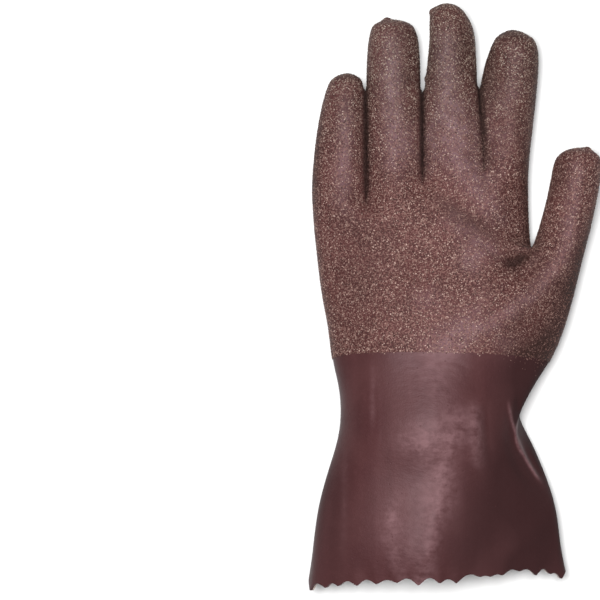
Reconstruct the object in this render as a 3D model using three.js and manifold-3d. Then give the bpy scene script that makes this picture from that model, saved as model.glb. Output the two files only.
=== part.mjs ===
// Rubber work glove for the right hand: a rough, crumb-coated hand with four fingers and a thumb,
// a smooth gauntlet cuff with a scalloped hem, and the cotton lining that shows at the cuff's mouth.
// It lies on its back with the palm up. Millimetres, +Z up, fingers along +Y, thumb towards +X,
// the floor at z = 0, and the origin under the middle of the whole glove.
import * as THREE from "three";
import { mergeVertices } from "three/addons/utils/BufferGeometryUtils.js";
import Module from "manifold-3d";

const wasm = await Module();
wasm.setup();

// Wall thicknesses and gaps
const HAND_WALL = 1.8;
const CUFF_WALL = 1.3;
const LINING_WALL = 0.7;
const GAP = 0.3;

// Scalloped hem: how far apart its points are, how deep each scallop is cut, and how both vary
const SCALLOP_PITCH = 10.2;
const SCALLOP_DEPTH = 3.3;
const PITCH_VARIES = 0.14;
const DEPTH_VARIES = 0.22;
const PITCH_RHYTHM = 2.4;
const DEPTH_RHYTHM = 1.7;
const CUTTER_SIDES = 10;
const CUTTER_LENGTH = 12;

// Section shape of the sleeve and palm
const SIDE_HEIGHT = 0.42; // height of the widest level, as a share of the section's height
const FOOT_POWER = 2.5; // superellipse power of the lower half, outside the flat foot
const FLAT_FOOT = 0.45; // share of each half width that lies flat on the floor
// Lengthways lines of the section, as shares of its half width; every second one runs into a web
const LINES = [-0.93, -0.72, -0.485, -0.23, 0.025, 0.32, 0.606, 0.78, 0.93];
const LAST = LINES.length - 1;

const table = (columns, rows) =>
  rows.map((row) => Object.fromEntries(columns.map((name, i) => [name, row[i]])));

// Sections from the hem to the palm: y at the little finger's side and at the thumb's side, the
// left edge, the right edge low down, half way up and high up, the height of the crown, how far the
// crown is set back behind the sides, and the superellipse powers of the upper left and upper right
// quarters: 2 is an ellipse, and 1.5 is nearly a straight slope.
const SLEEVE = table(
  ["name", "yLeft", "yRight", "left", "low", "side", "high", "top", "setBack", "powerL", "powerR"],
  [
    ["hem", -148.6, -142.9, -74.9, 56.5, 56.7, 55.7, 47, 1.4, 2.0, 1.55],
    ["lower cuff", -129, -127, -72.7, 55.8, 54.0, 53.0, 50, 0.8, 2.0, 1.55],
    ["mid cuff", -108, -107, -69.8, 53.6, 51.0, 49.8, 50.5, 0, 2.0, 1.6],
    ["fold's end", -89, -88.5, -64.8, 48.4, 44.4, 42.3, 50.5, 0, 2.1, 1.7],
    ["fold", -75, -75, -60.6, 43.2, 37.2, 34.2, 52, 0, 2.1, 1.9],
    ["pinch", -62, -62, -58.6, 36.6, 32.8, 34.2, 51.5, 0, 2.1, 2.0],
    ["heel", -47, -47, -59.4, 33.2, 38.1, 41.3, 49, 0, 2.2, 2.1],
    ["coat line", -32, -34, -62.5, 43.0, 47.4, 48.0, 46, 5.0, 2.2, 2.1],
    ["thumb's near side", -16, -11, -64.6, 49.0, 57.0, 56.2, 45.5, 0, 2.3, 2.3],
    ["thumb's middle", 0, 8, -67.5, 46.0, 54.0, 53.0, 42.5, 0, 2.3, 2.4],
    ["thumb's far side", 16.5, 27, -69.7, 38.0, 38.8, 38.2, 38.5, 0, 2.3, 2.4],
    ["palm", 34, 44, -71.6, 37.0, 37.7, 37.0, 36, 0, 2.4, 2.4],
  ],
);
const COAT_LINE = SLEEVE.findIndex((row) => row.name === "coat line");
const THUMB_NEAR = SLEEVE.findIndex((row) => row.name === "thumb's near side");
const MID_CUFF_Y = (SLEEVE[0].yLeft + SLEEVE[COAT_LINE].yLeft) / 2; // parts the hem from the coat line

// The webs between the fingers, and the outer ends of the knuckle line
const WEBS = table(
  ["name", "x", "y", "top", "foot"],
  [
    ["little finger's edge", -72.6, 49.5, 26.5, 3.0],
    ["little and ring", -45.0, 50.8, 27.0, 5.5],
    ["ring and middle", -16.4, 61.0, 28.0, 5.5],
    ["middle and index", 14.9, 66.0, 28.0, 5.5],
    ["index finger's edge", 37.6, 63.0, 25.5, 3.0],
  ],
);
const KNUCKLE_TOPS = [31.5, 33, 33, 31.5];
const KNUCKLE_FOOT = 0.6;
const WEB_MIDDLE = 15; // height of the webs' middles
const WEB_FOLD = 3; // how far a web's upper and lower edges lie behind its middle
const EDGE_INSET = 3.4; // how far the same edges stand in from the outer ends of the knuckle line

// Sections of each finger: the middle of its axis, its half width and half depth
const FINGER_COLUMNS = ["x", "y", "z", "wide", "deep"];
const FINGERS = {
  little: table(FINGER_COLUMNS, [
    [-59.1, 63, 14.0, 13.4, 12.6],
    [-58.0, 85, 14.8, 12.1, 11.8],
    [-56.4, 104, 16.5, 9.7, 9.8],
    [-55.5, 111, 17.2, 7.4, 7.0],
    [-55.3, 114.4, 17.4, 0, 0],
  ]),
  ring: table(FINGER_COLUMNS, [
    [-30.6, 75, 15.0, 13.5, 13.4],
    [-31.3, 103, 16.3, 13.5, 12.4],
    [-31.4, 129, 18.6, 12.7, 11.0],
    [-31.8, 138.6, 19.5, 9.7, 7.6],
    [-32.0, 141.7, 19.6, 0, 0],
  ]),
  middle: table(FINGER_COLUMNS, [
    [-0.7, 79, 15.5, 14.5, 13.6],
    [-1.8, 103, 16.8, 13.3, 12.5],
    [-1.3, 129, 19.5, 11.5, 11.1],
    [-2.7, 141, 20.8, 10.0, 9.2],
    [-3.9, 146.8, 21.2, 7.1, 6.4],
    [-4.2, 149.9, 21.3, 0, 0],
  ]),
  index: table(FINGER_COLUMNS, [
    [27.3, 80, 15.5, 11.7, 13.0],
    [27.5, 104, 17.0, 14.1, 12.3],
    [30.2, 126, 19.3, 12.0, 10.6],
    [30.1, 133, 19.8, 8.2, 7.4],
    [29.6, 136.4, 20.0, 0, 0],
  ]),
};
const FINGER_SIDES = [135, 90, 45, 0, -45, -90, -135, 180];

// The thumb's sections stand square to its axis, which leans outwards by "lean" degrees.
const THUMB = table(
  ["x", "y", "z", "wide", "deep", "lean"],
  [
    [53.1, 24, 19.8, 12.7, 13.4, 20],
    [58.0, 42, 21.6, 12.3, 12.5, 15],
    [61.4, 59, 23.1, 12.1, 11.3, 9],
    [63.1, 70.5, 24.0, 10.8, 8.9, 3],
    [63.4, 75.9, 24.3, 0, 0, 0],
  ],
);
const THUMB_SIDES = 12;

// Low, wide bulges and dents pressed into the upper face, each an oval hill along its own direction
const RELIEF = table(
  ["name", "x", "y", "along", "across", "turn", "rise"],
  [
    ["hollow of the palm", -16, 16, 24, 15, 10, -2.0],
    ["left side of the palm", -56, 8, 50, 15, 6, -2.0],
    ["pit beside the thumb", 27, 17, 13, 10, -70, -3.0],
    ["slope below the index finger", 33, 44, 24, 10, 8, -3.5],
    ["slope under the thumb's ball", 54, -6, 22, 9, -38, -3.0],
    ["crest of the thumb's ball", 43, 6, 20, 7, -38, 2.0],
    ["middle of the heel", 2, -20, 14, 14, 0, 1.4],
    ["heel of the hand", -38, -14, 24, 14, 8, 1.2],
    ["upper bulge of the cuff", -14, -62, 24, 16, 0, 1.6],
    ["lower bulge of the cuff", -22, -138, 34, 17, -8, 3.6],
    ["right side of the cuff", 30, -112, 40, 18, 14, -3.0],
    ["right of the wrist", 26, -48, 22, 14, 0, -2.0],
    ["trough between the bulges", -22, -88, 6, 22, 0, -1.2],
    ["wall behind the wrist's fold", 42, -78, 16, 5, 16, -2.4],
  ],
);

const degrees = THREE.MathUtils.degToRad;

// One point of the sleeve's outline: the line's place across it, on the upper or lower half.
function outlinePoint(row, share, upper) {
  const middle = (row.left + row.side) / 2;
  const right = upper ? row.high : row.low;
  const half = share < 0 ? middle - row.left : right - middle;
  const level = row.top * SIDE_HEIGHT;
  const x = middle + share * half;
  const across = (x - row.left) / (row.side - row.left);
  const y = THREE.MathUtils.lerp(row.yLeft, row.yRight, across);
  if (upper) {
    const power = share < 0 ? row.powerL : row.powerR;
    const crown = (1 - Math.abs(share) ** power) ** (1 / power);
    return new THREE.Vector3(x, y + row.setBack * crown, level + (row.top - level) * crown);
  }
  const beyond = Math.max(0, (Math.abs(share) - FLAT_FOOT) / (1 - FLAT_FOOT));
  const foot = (1 - beyond ** FOOT_POWER) ** (1 / FOOT_POWER);
  return new THREE.Vector3(x, y, level * (1 - foot));
}

// A net of four-cornered faces under construction; "zone" says which piece a face belongs to.
const points = [];
const faces = [];
const addPoint = (point) => points.push(point) - 1;
const addFace = (zone, ...corners) => faces.push({ zone, corners });

function joinRings(zone, near, far, skip = () => false) {
  near.forEach((a, i) => {
    const j = (i + 1) % near.length;
    if (!skip(i)) addFace(zone, a, near[j], far[j], far[i]);
  });
}

// Each sleeve ring runs over the top from left to right, down the thumb's side and back underneath.
function sleeveRing(row) {
  const level = row.top * SIDE_HEIGHT;
  const over = LINES.map((share) => addPoint(outlinePoint(row, share, true)));
  const right = addPoint(new THREE.Vector3(row.side, row.yRight, level));
  const under = LINES.map((share) => addPoint(outlinePoint(row, share, false)));
  const left = addPoint(new THREE.Vector3(row.left, row.yLeft, level));
  return { over, right, under, left, loop: [...over, right, ...under.reverse(), left] };
}

// The knuckle ring follows the webs: their upper edges, their middles and their lower edges.
function knuckleRing() {
  const over = [];
  const middles = [];
  const under = [];
  WEBS.forEach((web, i) => {
    const outer = i === 0 || i === WEBS.length - 1;
    const inset = outer ? Math.sign(-web.x) * EDGE_INSET : 0;
    const back = outer ? 0 : WEB_FOLD;
    over.push(addPoint(new THREE.Vector3(web.x + inset, web.y - back, web.top)));
    middles.push(addPoint(new THREE.Vector3(web.x, web.y, WEB_MIDDLE)));
    under.push(addPoint(new THREE.Vector3(web.x + inset, web.y - back, web.foot)));
    if (i === WEBS.length - 1) return;
    const next = WEBS[i + 1];
    const x = (web.x + next.x) / 2;
    const y = (web.y + next.y) / 2;
    over.push(addPoint(new THREE.Vector3(x, y, KNUCKLE_TOPS[i])));
    under.push(addPoint(new THREE.Vector3(x, y, KNUCKLE_FOOT)));
  });
  const loop = [...over, middles.at(-1), ...under.toReversed(), middles[0]];
  return { over, middles, under, loop };
}

function closeTip(zone, ring, tip) {
  for (let i = 0; i < ring.length; i += 2)
    addFace(zone, ring[i], ring[i + 1], ring[(i + 2) % ring.length], tip);
}

function buildFinger(rows, k, knuckles) {
  const { over, middles, under } = knuckles;
  const [a, b, c] = [2 * k, 2 * k + 1, 2 * k + 2];
  let ring = [over[a], over[b], over[c], middles[k + 1], under[c], under[b], under[a], middles[k]];
  for (const row of rows.slice(0, -1)) {
    const next = FINGER_SIDES.map((side) => {
      const x = row.x + row.wide * Math.cos(degrees(side));
      const z = row.z + row.deep * Math.sin(degrees(side));
      return addPoint(new THREE.Vector3(x, row.y, z));
    });
    joinRings("hand", ring, next);
    ring = next;
  }
  const end = rows.at(-1);
  closeTip("hand", ring, addPoint(new THREE.Vector3(end.x, end.y, end.z)));
}

// The thumb grows out of a window in the palm's side, two faces long and four faces high.
function buildThumb(rings) {
  const [near, middle, far] = rings.slice(THUMB_NEAR, THUMB_NEAR + 3);
  const outer = LAST;
  const inner = LAST - 1;
  let ring = [
    near.right, near.lower[outer], near.lower[inner], middle.lower[inner],
    far.lower[inner], far.lower[outer], far.right, far.over[outer],
    far.over[inner], middle.over[inner], near.over[inner], near.over[outer],
  ];
  for (const row of THUMB.slice(0, -1)) {
    const lean = degrees(row.lean);
    const next = Array.from({ length: THUMB_SIDES }, (_, i) => {
      const turn = (-i * 2 * Math.PI) / THUMB_SIDES;
      const out = row.wide * Math.cos(turn);
      const x = row.x + out * Math.cos(lean);
      const y = row.y - out * Math.sin(lean);
      return addPoint(new THREE.Vector3(x, y, row.z + row.deep * Math.sin(turn)));
    });
    joinRings("hand", ring, next);
    ring = next;
  }
  const end = THUMB.at(-1);
  closeTip("hand", ring, addPoint(new THREE.Vector3(end.x, end.y, end.z)));
}

function buildNet() {
  const rings = SLEEVE.map((row) => {
    const ring = sleeveRing(row);
    ring.lower = ring.under.toReversed();
    return ring;
  });
  const knuckles = knuckleRing();
  const loops = [...rings.map((ring) => ring.loop), knuckles.loop];
  const inWindow = (i) => i >= LAST - 1 && i < LAST + 3;
  loops.slice(1).forEach((far, i) => {
    const isWindow = i === THUMB_NEAR || i === THUMB_NEAR + 1;
    joinRings(i < COAT_LINE ? "cuff" : "hand", loops[i], far, (k) => isWindow && inWindow(k));
  });
  Object.values(FINGERS).forEach((rows, k) => buildFinger(rows, k, knuckles));
  buildThumb(rings);
}

// A number for each point that the faces use, in the order in which they use them
function numbered(chosen) {
  const index = new Map();
  chosen.forEach(({ corners }) =>
    corners.forEach((v) => index.has(v) || index.set(v, index.size)),
  );
  return index;
}

// The net without the points inside the thumb's window, which belong to no face
function usedOnly(net) {
  const index = numbered(net.faces);
  const renumber = (corners) => corners.map((v) => index.get(v));
  return {
    points: [...index.keys()].map((v) => net.points[v]),
    faces: net.faces.map(({ zone, corners }) => ({ zone, corners: renumber(corners) })),
  };
}

// For every point: the points next to it, the points across its faces, and whether it is on a rim.
function neighbours(net) {
  const around = net.points.map(() => ({ edges: new Map(), corners: [] }));
  for (const { corners } of net.faces) {
    corners.forEach((v, i) => {
      const before = corners[(i + 3) % 4];
      const after = corners[(i + 1) % 4];
      for (const other of [before, after])
        around[v].edges.set(other, (around[v].edges.get(other) ?? 0) + 1);
      around[v].corners.push(corners[(i + 2) % 4]);
    });
  }
  return around.map(({ edges, corners }) => {
    const rim = [...edges].filter(([, uses]) => uses === 1).map(([v]) => v);
    return { edges: [...edges.keys()], corners, rim };
  });
}

const sumOf = (list, indices) =>
  indices.reduce((sum, i) => sum.add(list[i]), new THREE.Vector3());

// Where the smooth subdivision surface passes, for each point of the net
function limitPoints(net, around) {
  return net.points.map((point, v) => {
    const { edges, corners, rim } = around[v];
    if (rim.length) return sumOf(net.points, rim).addScaledVector(point, 4).divideScalar(6);
    const n = edges.length;
    const sum = sumOf(net.points, edges).multiplyScalar(4).add(sumOf(net.points, corners));
    return sum.addScaledVector(point, n * n).divideScalar(n * (n + 5));
  });
}

// Pulls the net outwards until the smooth surface passes through the points that the tables give.
function netThrough(net, rounds = 8) {
  const around = neighbours(net);
  const wanted = net.points.map((point) => point.clone());
  for (let round = 0; round < rounds; round++) {
    const limit = limitPoints(net, around);
    net.points.forEach((point, v) => point.add(wanted[v]).sub(limit[v]));
  }
}

// One Catmull-Clark step: every face becomes four.
function subdivide(net) {
  const around = neighbours(net);
  const made = [];
  const faceMiddles = net.faces.map(({ corners }) => {
    const middle = sumOf(net.points, corners).divideScalar(4);
    return made.push(middle) - 1;
  });
  const edges = new Map();
  const edgeKey = (a, b) => `${Math.min(a, b)},${Math.max(a, b)}`;
  net.faces.forEach(({ corners }, f) =>
    corners.forEach((a, i) => {
      const key = edgeKey(a, corners[(i + 1) % 4]);
      if (!edges.has(key)) edges.set(key, { ends: [a, corners[(i + 1) % 4]], sides: [] });
      edges.get(key).sides.push(faceMiddles[f]);
    }),
  );
  for (const edge of edges.values()) {
    const sum = sumOf(net.points, edge.ends);
    if (edge.sides.length === 2) sum.add(sumOf(made, edge.sides)).divideScalar(4);
    else sum.divideScalar(2);
    edge.point = made.push(sum) - 1;
  }
  const touching = net.points.map(() => []);
  net.faces.forEach(({ corners }, f) => corners.forEach((v) => touching[v].push(faceMiddles[f])));
  const kept = net.points.map((point, v) => {
    const { edges: next, rim } = around[v];
    const moved = new THREE.Vector3();
    if (rim.length) moved.copy(sumOf(net.points, rim)).addScaledVector(point, 6).divideScalar(8);
    else {
      const n = next.length;
      moved.copy(sumOf(made, touching[v])).divideScalar(n);
      moved.add(sumOf(net.points, next).divideScalar(n)).addScaledVector(point, n - 2);
      moved.divideScalar(n);
    }
    return made.push(moved) - 1;
  });
  const smaller = net.faces.flatMap(({ zone, corners }, f) =>
    corners.map((v, i) => {
      const after = edges.get(edgeKey(v, corners[(i + 1) % 4])).point;
      const before = edges.get(edgeKey(v, corners[(i + 3) % 4])).point;
      return { zone, corners: [kept[v], after, faceMiddles[f], before] };
    }),
  );
  return { points: made, faces: smaller };
}

// Presses the relief into the upper face and sets whatever sags below the floor back on it.
function addRelief(net) {
  const normals = normalsOf(net);
  net.points.forEach((point, v) => {
    for (const hill of RELIEF) {
      const turn = degrees(hill.turn);
      const dx = point.x - hill.x;
      const dy = point.y - hill.y;
      const along = (dy * Math.cos(turn) - dx * Math.sin(turn)) / hill.along;
      const across = (dx * Math.cos(turn) + dy * Math.sin(turn)) / hill.across;
      const facing = Math.max(0, normals[v].z);
      point.z += hill.rise * facing * Math.exp(-(along ** 2) - across ** 2);
    }
    point.z = Math.max(0, point.z);
  });
}

function normalsOf(net) {
  const normals = net.points.map(() => new THREE.Vector3());
  for (const { corners } of net.faces) {
    const [a, b, c, d] = corners.map((v) => net.points[v]);
    const normal = c.clone().sub(a).cross(d.clone().sub(b)).normalize();
    corners.forEach((v) => normals[v].add(normal));
  }
  return normals.map((normal) => normal.normalize());
}

// A closed wall between two depths under the skin, from the faces of one zone. Its rims keep their
// own y, moved by "rimShift" at the coat line.
function wallGeometry(net, normals, zone, depth, thickness, rimShift) {
  const chosen = net.faces.filter((face) => face.zone === zone);
  const index = numbered(chosen);
  const around = neighbours({ points: net.points, faces: chosen });
  const layer = (distance) =>
    [...index.keys()].flatMap((v) => {
      const direction = normals[v].clone();
      const point = net.points[v].clone();
      if (around[v].rim.length) {
        direction.setY(0).normalize();
        if (point.y > MID_CUFF_Y) point.y += rimShift;
      }
      return point.addScaledVector(direction, -distance).toArray();
    });
  const positions = [...layer(depth), ...layer(depth + thickness)];
  const triangles = [];
  const addQuad = (a, b, c, d) => triangles.push(a, b, c, a, c, d);
  const size = index.size;
  const uses = new Map();
  for (const { corners } of chosen) {
    const [a, b, c, d] = corners.map((v) => index.get(v));
    addQuad(a, b, c, d);
    addQuad(size + a, size + d, size + c, size + b);
    for (const [from, to] of [[a, b], [b, c], [c, d], [d, a]])
      uses.set(`${from},${to}`, [from, to]);
  }
  for (const [from, to] of uses.values())
    if (!uses.has(`${to},${from}`)) addQuad(to, from, size + from, size + to);
  const geometry = new THREE.BufferGeometry();
  geometry.setAttribute("position", new THREE.Float32BufferAttribute(positions, 3));
  geometry.setIndex(triangles);
  return geometry;
}

function solidOf(geometry) {
  const bare = geometry.clone();
  bare.deleteAttribute("normal");
  bare.deleteAttribute("uv");
  const merged = mergeVertices(bare, 1e-3);
  const vertProperties = merged.attributes.position.array;
  const triVerts = new Uint32Array(merged.index.array);
  return new wasm.Manifold(new wasm.Mesh({ numProp: 3, vertProperties, triVerts }));
}

function geometryOf(solid) {
  const { vertProperties, triVerts } = solid.getMesh();
  const geometry = new THREE.BufferGeometry();
  geometry.setAttribute("position", new THREE.BufferAttribute(vertProperties, 3));
  geometry.setIndex(new THREE.BufferAttribute(triVerts, 1));
  geometry.computeVertexNormals();
  return geometry;
}

// The points of the hem, as shares of the way round the mouth, at an uneven pitch
function hemPoints(count) {
  return Array.from({ length: count + 1 }, (_, i) =>
    i % count ? (i + PITCH_VARIES * Math.sin(PITCH_RHYTHM * i)) / count : i / count);
}

// The round cutters of the hem, one between each two points, standing square to the mouth's wall
function scallopCutters(net) {
  const around = neighbours(net);
  const hem = net.points.filter((point, v) => around[v].rim.length && point.y < MID_CUFF_Y);
  const middle = new THREE.Vector3();
  hem.forEach((point) => middle.addScaledVector(point, 1 / hem.length));
  hem.sort((a, b) =>
    Math.atan2(a.z - middle.z, a.x - middle.x) - Math.atan2(b.z - middle.z, b.x - middle.x));
  const mouth = new THREE.CatmullRomCurve3(hem, true);
  const count = Math.round(mouth.getLength() / SCALLOP_PITCH);
  const ends = hemPoints(count);
  const lengthways = new THREE.Vector3(0, 1, 0);
  return Array.from({ length: count }, (_, i) => {
    const share = (ends[i] + ends[i + 1]) / 2;
    const half = ((ends[i + 1] - ends[i]) * mouth.getLength()) / 2;
    const depth = SCALLOP_DEPTH * (1 + DEPTH_VARIES * Math.sin(DEPTH_RHYTHM * i));
    const radius = (half ** 2 + depth ** 2) / (2 * depth);
    const at = mouth.getPointAt(share);
    const tangent = mouth.getTangentAt(share).setY(0).normalize();
    const outward = tangent.clone().cross(lengthways);
    const cutter = new THREE.CylinderGeometry(radius, radius, CUTTER_LENGTH, CUTTER_SIDES);
    cutter.applyMatrix4(new THREE.Matrix4().makeBasis(tangent, outward, lengthways.clone().negate()));
    cutter.translate(at.x, at.y + depth - radius, at.z);
    return solidOf(cutter);
  });
}

const material = (color, roughness) =>
  new THREE.MeshStandardMaterial({ color, roughness, metalness: 0 });
const ROUGH_RUBBER = material(0x7a5750, 0.9);
const SMOOTH_RUBBER = material(0x64393b, 0.5);
const COTTON = material(0xcbb8a4, 1);

buildNet();
const net = usedOnly({ points, faces });
netThrough(net);
const skin = subdivide(net);
addRelief(skin);
const normals = normalsOf(skin);

const cutters = scallopCutters(skin);
const scalloped = (geometry) =>
  geometryOf(cutters.reduce((solid, cutter) => solid.subtract(cutter), solidOf(geometry)));

const hand = wallGeometry(skin, normals, "hand", 0, HAND_WALL, GAP / 2);
const cuff = wallGeometry(skin, normals, "cuff", 0, CUFF_WALL, -GAP / 2);
const lining = wallGeometry(skin, normals, "cuff", CUFF_WALL + GAP, LINING_WALL, -GAP / 2);

const glove = new THREE.Group();
glove.name = "rubber_work_glove";
for (const [name, geometry, surface] of [
  ["rough_hand", geometryOf(solidOf(hand)), ROUGH_RUBBER],
  ["gauntlet_cuff", scalloped(cuff), SMOOTH_RUBBER],
  ["cotton_lining", scalloped(lining), COTTON],
]) {
  const mesh = new THREE.Mesh(geometry, surface);
  mesh.name = name;
  glove.add(mesh);
}

// The origin goes under the middle of the whole glove.
const middle = new THREE.Box3().setFromObject(glove, true).getCenter(new THREE.Vector3());
glove.children.forEach((mesh) => mesh.geometry.translate(-middle.x, -middle.y, 0));

export default glove;
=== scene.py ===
# %% [markdown]
# # A crumb-coated rubber work glove
# The real glove is dipped, not sewn. A knitted cotton glove on a former goes into maroon rubber,
# and then the hand alone is dipped again and rolled in crumb, which grips wet things. The cuff, a
# gauntlet, stays smooth, and its hem is cut with scalloped shears. Here the glove lies palm up,
# fingers away from the reader. The lesson lays a cage round tables of sections, rounds it, presses
# folds in, cuts the hem, scatters crumb, and adds finishes, light and camera.

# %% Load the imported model
import math
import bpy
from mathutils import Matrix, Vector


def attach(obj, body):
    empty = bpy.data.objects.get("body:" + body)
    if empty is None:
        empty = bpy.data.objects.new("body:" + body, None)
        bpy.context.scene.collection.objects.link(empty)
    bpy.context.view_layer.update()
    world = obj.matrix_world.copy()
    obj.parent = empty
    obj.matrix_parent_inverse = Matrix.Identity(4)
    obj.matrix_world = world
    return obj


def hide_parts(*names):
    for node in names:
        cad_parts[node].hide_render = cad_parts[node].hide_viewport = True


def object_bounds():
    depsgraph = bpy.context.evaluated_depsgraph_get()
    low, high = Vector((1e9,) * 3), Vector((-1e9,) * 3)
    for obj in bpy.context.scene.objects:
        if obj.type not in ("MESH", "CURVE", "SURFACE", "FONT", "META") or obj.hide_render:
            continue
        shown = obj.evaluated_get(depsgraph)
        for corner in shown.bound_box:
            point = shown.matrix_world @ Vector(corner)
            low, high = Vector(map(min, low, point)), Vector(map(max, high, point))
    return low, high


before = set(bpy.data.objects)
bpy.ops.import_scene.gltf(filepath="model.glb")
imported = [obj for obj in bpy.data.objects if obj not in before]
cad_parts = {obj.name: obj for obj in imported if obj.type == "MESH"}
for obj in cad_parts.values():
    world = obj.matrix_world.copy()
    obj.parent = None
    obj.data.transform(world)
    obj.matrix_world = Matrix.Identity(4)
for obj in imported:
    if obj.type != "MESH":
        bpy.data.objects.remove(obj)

from types import SimpleNamespace

import bpy
import numpy as np
from mathutils import Vector
from mathutils.bvhtree import BVHTree

cad_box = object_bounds()
MM = 0.001


def placed(name, data):
    made = bpy.data.objects.new(name, data)
    bpy.context.collection.objects.link(made)
    return made


print("packed model, mm:", [[round(side / MM, 1) for side in corner] for corner in cad_box])

# %% [markdown]
# ## The tables of sections
# Sizes are in millimetres, with the fingers along +Y, the thumb towards +X and the floor at z = 0.
# A table has a row for each section and a name for each column, so that a reader can find the wrist
# or a knuckle and change it. The solid model has the same rows, so the soft shape fits it.


# %% A table with named columns
def table(columns, *rows):
    names = columns.split()
    return [SimpleNamespace(**dict(zip(names, row))) for row in rows]


# %% Sections of the sleeve, from the hem to the palm
# Where a section ends at the little finger's side and the thumb's side, its left edge, its right
# edge low down, half way up and high up, its crown, how far that is set back, and the powers of its
# upper left and upper right quarters: 2 is an ellipse, and 1.5 is nearly a straight slope.
SLEEVE = table(
    "name y_left y_right left low side high top set_back left_power right_power",
    ("hem", -148.6, -142.9, -74.9, 56.5, 56.7, 55.7, 47, 1.4, 2, 1.55),
    ("lower cuff", -129, -127, -72.7, 55.8, 54, 53, 50, 0.8, 2, 1.55),
    ("mid cuff", -108, -107, -69.8, 53.6, 51, 49.8, 50.5, 0, 2, 1.6),
    ("fold's end", -89, -88.5, -64.8, 48.4, 44.4, 42.3, 50.5, 0, 2.1, 1.7),
    ("fold", -75, -75, -60.6, 43.2, 37.2, 34.2, 52, 0, 2.1, 1.9),
    ("pinch", -62, -62, -58.6, 36.6, 32.8, 34.2, 51.5, 0, 2.1, 2),
    ("heel", -47, -47, -59.4, 33.2, 38.1, 41.3, 49, 0, 2.2, 2.1),
    ("coat line", -32, -34, -62.5, 43, 47.4, 48, 46, 5, 2.2, 2.1),
    ("thumb's near side", -16, -11, -64.6, 49, 57, 56.2, 45.5, 0, 2.3, 2.3),
    ("thumb's middle", 0, 8, -67.5, 46, 54, 53, 42.5, 0, 2.3, 2.4),
    ("thumb's far side", 16.5, 27, -69.7, 38, 38.8, 38.2, 38.5, 0, 2.3, 2.4),
    ("palm", 34, 44, -71.6, 37, 37.7, 37, 36, 0, 2.4, 2.4),
)
ROW_NAMES = [row.name for row in SLEEVE]
COAT_LINE = ROW_NAMES.index("coat line")
THUMB_NEAR = ROW_NAMES.index("thumb's near side")
SIDE_HEIGHT = 0.42  # height of a section's widest level, as a share of its crown
FOOT_POWER = 2.5  # superellipse power of the lower half, outside the flat foot
FLAT_FOOT = 0.45  # share of each half width that lies flat on the floor
LINES = [-0.93, -0.72, -0.485, -0.23, 0.025, 0.32, 0.606, 0.78, 0.93]
LAST = len(LINES) - 1
print("sleeve:", len(SLEEVE), "sections of", 2 * len(LINES) + 2, "points")

# %% Webs between the fingers, and knuckles between the webs
WEBS = table(
    "name x y top foot",
    ("little finger's edge", -72.6, 49.5, 26.5, 3),
    ("little and ring", -45, 50.8, 27, 5.5),
    ("ring and middle", -16.4, 61, 28, 5.5),
    ("middle and index", 14.9, 66, 28, 5.5),
    ("index finger's edge", 37.6, 63, 25.5, 3),
)
KNUCKLE_TOPS = [31.5, 33, 33, 31.5]
KNUCKLE_FOOT = 0.6
WEB_MIDDLE = 15
WEB_FOLD = 3  # how far a web's upper and lower edges lie behind its middle
EDGE_INSET = 3.4  # how far the same edges stand in from the outer ends of the knuckle line

# %% Fingers and thumb: each section's middle, half width and half depth
FINGER_COLUMNS = "x y z wide deep"
LITTLE = table(
    FINGER_COLUMNS,
    (-59.1, 63, 14, 13.4, 12.6),
    (-58, 85, 14.8, 12.1, 11.8),
    (-56.4, 104, 16.5, 9.7, 9.8),
    (-55.5, 111, 17.2, 7.4, 7),
    (-55.3, 114.4, 17.4, 0, 0),
)
RING = table(
    FINGER_COLUMNS,
    (-30.6, 75, 15, 13.5, 13.4),
    (-31.3, 103, 16.3, 13.5, 12.4),
    (-31.4, 129, 18.6, 12.7, 11),
    (-31.8, 138.6, 19.5, 9.7, 7.6),
    (-32, 141.7, 19.6, 0, 0),
)
MIDDLE = table(
    FINGER_COLUMNS,
    (-0.7, 79, 15.5, 14.5, 13.6),
    (-1.8, 103, 16.8, 13.3, 12.5),
    (-1.3, 129, 19.5, 11.5, 11.1),
    (-2.7, 141, 20.8, 10, 9.2),
    (-3.9, 146.8, 21.2, 7.1, 6.4),
    (-4.2, 149.9, 21.3, 0, 0),
)
INDEX = table(
    FINGER_COLUMNS,
    (27.3, 80, 15.5, 11.7, 13),
    (27.5, 104, 17, 14.1, 12.3),
    (30.2, 126, 19.3, 12, 10.6),
    (30.1, 133, 19.8, 8.2, 7.4),
    (29.6, 136.4, 20, 0, 0),
)
FINGER_SIDES = [135, 90, 45, 0, -45, -90, -135, 180]
# The thumb's sections stand square to its axis, which leans outwards by "lean" degrees.
THUMB = table(
    "x y z wide deep lean",
    (53.1, 24, 19.8, 12.7, 13.4, 20),
    (58, 42, 21.6, 12.3, 12.5, 15),
    (61.4, 59, 23.1, 12.1, 11.3, 9),
    (63.1, 70.5, 24, 10.8, 8.9, 3),
    (63.4, 75.9, 24.3, 0, 0, 0),
)
THUMB_SIDES = 12

# %% [markdown]
# ## The cage
# A glove could be sculpted, or grown from metaballs and remeshed, but neither keeps a measured
# outline. A cage of four-cornered faces does: its rings follow the sections, every second line of
# the palm runs into a web, each finger is a tube between two webs, and the thumb grows out of a
# window in the palm's side.


# %% A cage under construction
HAND, CUFF = 0, 1


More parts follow.
